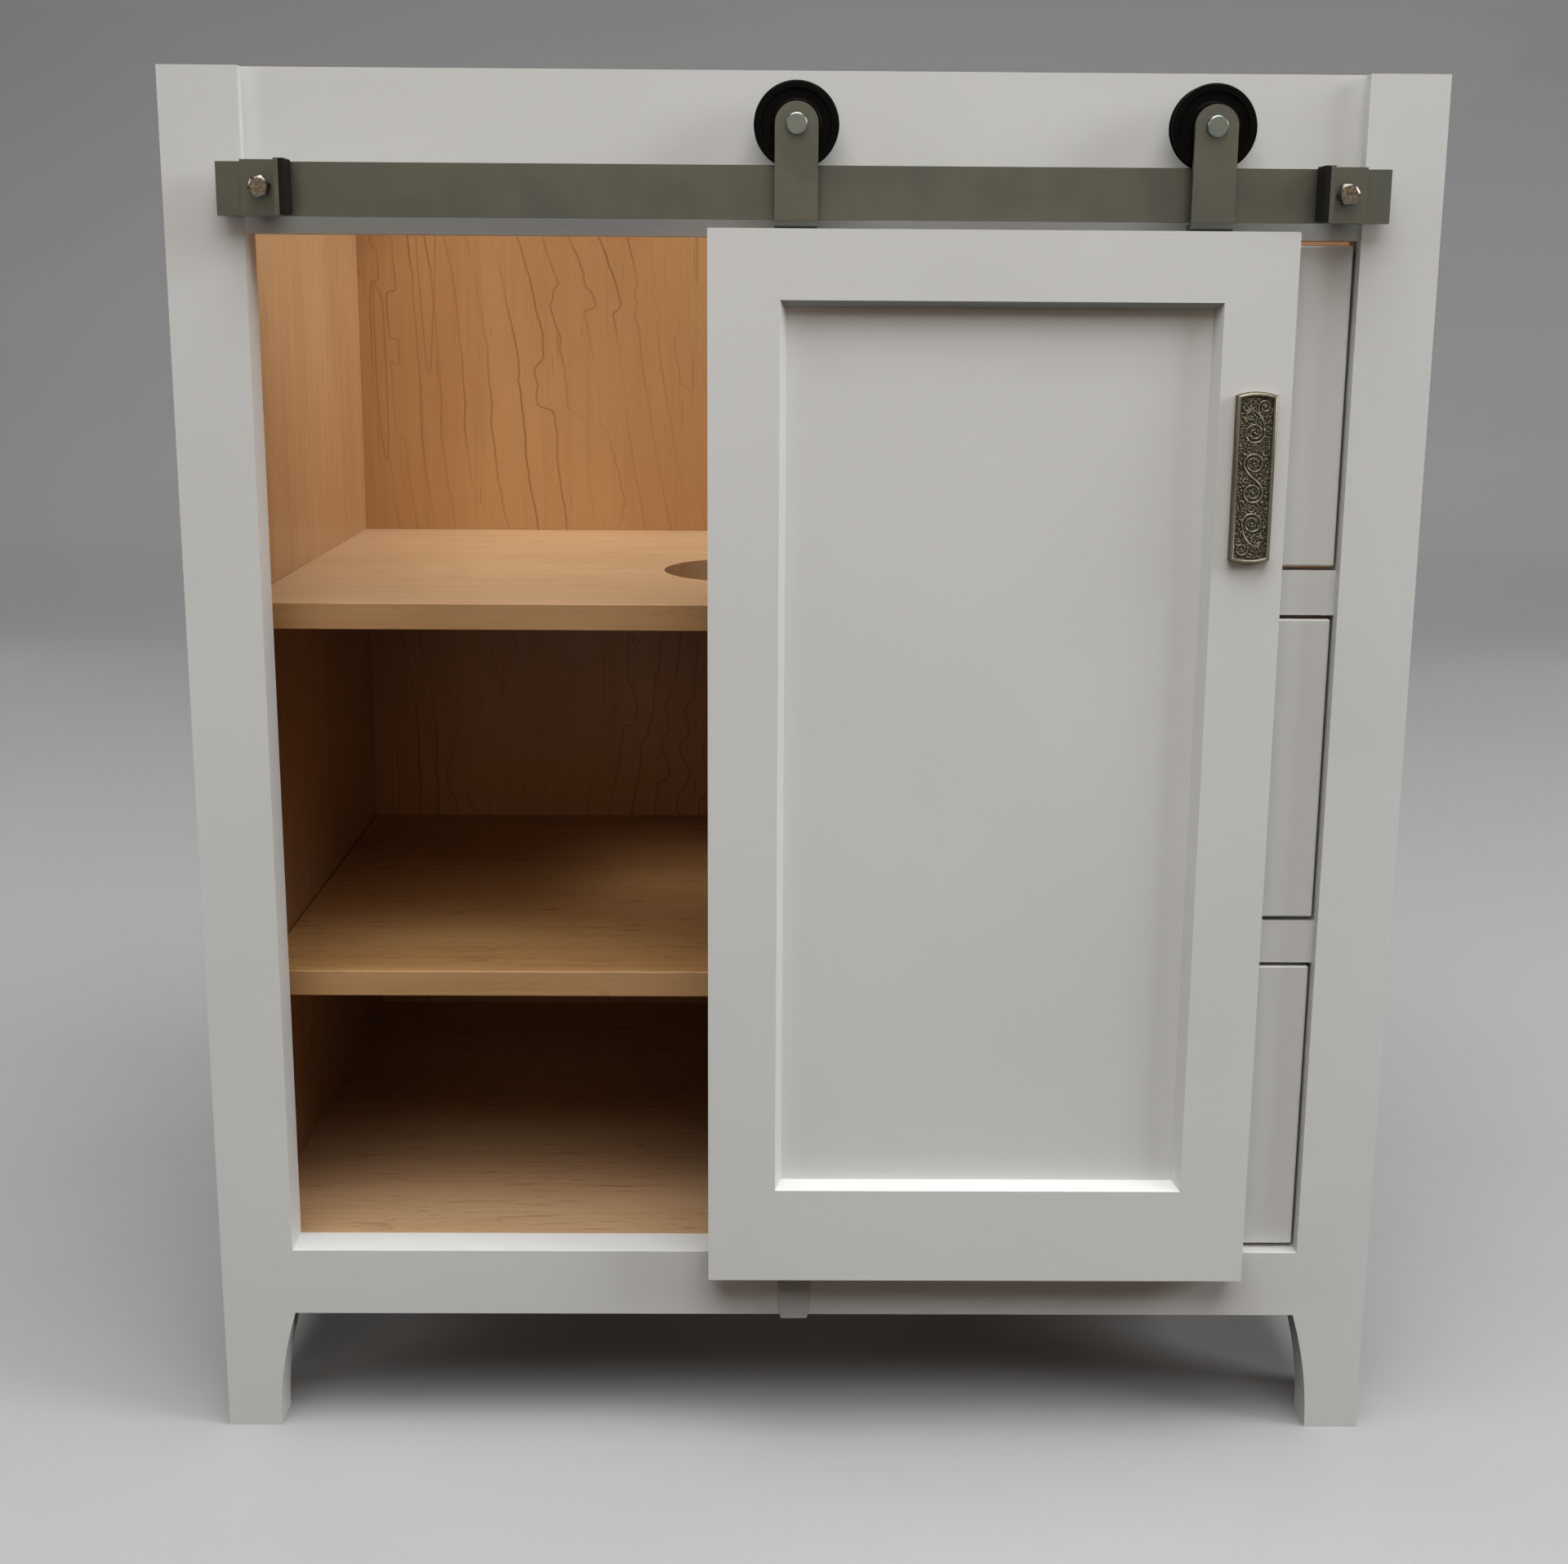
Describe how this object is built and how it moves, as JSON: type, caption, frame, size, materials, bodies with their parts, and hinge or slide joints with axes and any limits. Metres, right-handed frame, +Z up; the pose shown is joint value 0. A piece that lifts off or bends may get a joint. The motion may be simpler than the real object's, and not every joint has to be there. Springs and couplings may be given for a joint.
{
  "type": "bathroom vanity cabinet",
  "caption": "Freestanding vanity base with a face frame on tapered feet, a sliding barn door on a flat track, open shelves beside it, drawers behind it and an open top for a sink.",
  "frame": {"origin": "on the floor under the middle of the unit's width and depth", "axes": "+X to the right seen from the front, +Y from the front to the wall, +Z up"},
  "size_m": [0.762, 0.566, 0.876],
  "materials": {
    "white_paint": "satin off-white paint",
    "maple": "clear satin lacquer",
    "maple_edging": "clear satin lacquer",
    "track_steel": "satin grey",
    "bright_steel": "turned",
    "runner_steel": "zinc plated",
    "rubber": "matt",
    "black_plastic": "satin moulded",
    "antique_pewter": "cast and worn"
  },
  "bodies": {
    "cabinet": {"left_post": "white_paint", "right_post": "white_paint", "top_rail": "white_paint", "bottom_rail": "white_paint", "centre_stile": "white_paint", "drawer_rail_upper": "white_paint", "drawer_rail_lower": "white_paint", "left_side_panel": "maple", "right_side_panel": "maple", "partition": "maple", "floor_panel": "maple", "back_panel": "maple", "back_nailer": "maple", "corner_blocks": "maple", "upper_shelf": "maple", "upper_shelf_edging": "maple_edging", "lower_shelf": "maple", "lower_shelf_edging": "maple_edging", "shelf_pins": "bright_steel", "false_front": "white_paint", "false_front_battens": "maple", "runner_packing": "maple", "middle_runners": "runner_steel", "lower_runners": "runner_steel", "track_bar": "track_steel", "track_sleeves": "track_steel", "track_bolts": "bright_steel", "left_stop": "track_steel", "right_stop": "track_steel", "stop_pads": "rubber", "door_guide": "white_paint", "guide_screws": "bright_steel"},
    "door": {"door_left_stile": "white_paint", "door_right_stile": "white_paint", "door_top_rail": "white_paint", "door_bottom_rail": "white_paint", "door_panel": "white_paint", "pull": "antique_pewter", "pull_screws": "bright_steel", "left_hanger": "track_steel", "right_hanger": "track_steel", "hanger_screws": "bright_steel", "wheel_axles": "bright_steel", "axle_spacers": "bright_steel"},
    "left_wheel": {"left_wheel": "black_plastic", "left_bearing": "bright_steel"},
    "right_wheel": {"right_wheel": "black_plastic", "right_bearing": "bright_steel"},
    "middle_drawer": {"middle_drawer_front": "white_paint", "middle_drawer_sides": "maple", "middle_drawer_ends": "maple", "middle_drawer_bottom": "maple", "middle_drawer_runners": "runner_steel"},
    "lower_drawer": {"lower_drawer_front": "white_paint", "lower_drawer_sides": "maple", "lower_drawer_ends": "maple", "lower_drawer_bottom": "maple", "lower_drawer_runners": "runner_steel"}
  },
  "joints": [
    {"name": "door_slide", "type": "slide", "parent": "cabinet", "child": "door", "axis": [1, 0, 0], "range_m": [-0.282, 0.048]},
    {"name": "left_wheel_roll", "type": "hinge", "parent": "door", "child": "left_wheel", "pos_m": [-0.00525, -0.2605, 0.8437], "axis": [0, 1, 0], "continuous": true},
    {"name": "right_wheel_roll", "type": "hinge", "parent": "door", "child": "right_wheel", "pos_m": [0.23925, -0.2605, 0.8437], "axis": [0, 1, 0], "continuous": true},
    {"name": "middle_drawer_slide", "type": "slide", "parent": "cabinet", "child": "middle_drawer", "axis": [0, -1, 0], "range_m": [0, 0.015]},
    {"name": "lower_drawer_slide", "type": "slide", "parent": "cabinet", "child": "lower_drawer", "axis": [0, -1, 0], "range_m": [0, 0.015]}
  ],
  "couplings": [
    {"joint": "left_wheel_roll", "follows": "door_slide", "rad_per_m": 44.444},
    {"joint": "right_wheel_roll", "follows": "door_slide", "rad_per_m": 44.444}
  ]
}
